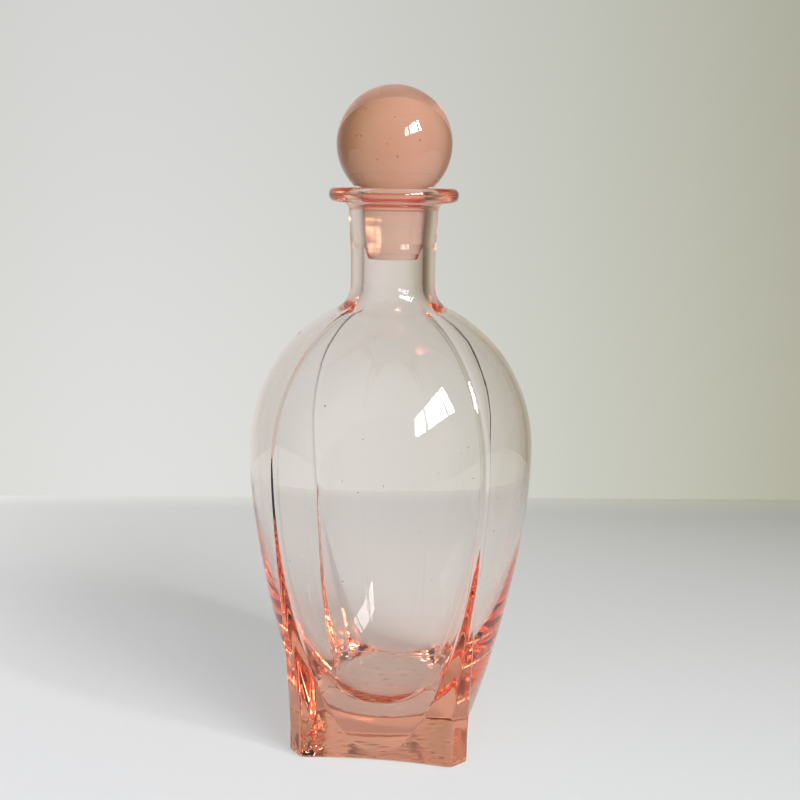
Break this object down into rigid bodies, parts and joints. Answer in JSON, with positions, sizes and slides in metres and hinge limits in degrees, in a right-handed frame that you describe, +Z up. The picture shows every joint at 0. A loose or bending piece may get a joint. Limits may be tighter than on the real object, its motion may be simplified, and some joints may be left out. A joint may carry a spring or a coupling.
{
  "type": "perfume bottle",
  "caption": "Pink clear glass bottle with an ovoid ribbed body on a square foot, a flat lip, and a solid ball stopper with a ground peg.",
  "frame": {"origin": "middle of the foot's underside, on the bottle's axis", "axes": "+Z up along the bottle's axis; +X and +Y straight out of two neighbouring panels; the ribs lie on the diagonals"},
  "size_m": [0.09, 0.09, 0.2079],
  "materials": {
    "bottle_glass": "moulded, fire-polished, clear salmon pink",
    "stopper_glass": "moulded, polished ball with a finely ground peg, clear salmon pink"
  },
  "bodies": {
    "bottle": {"bottle": "bottle_glass"},
    "stopper": {"stopper": "stopper_glass"}
  },
  "joints": [
    {"name": "stopper_lift", "type": "slide", "parent": "bottle", "child": "stopper", "axis": [0, 0, 1], "range_m": [0, 0.045]}
  ]
}
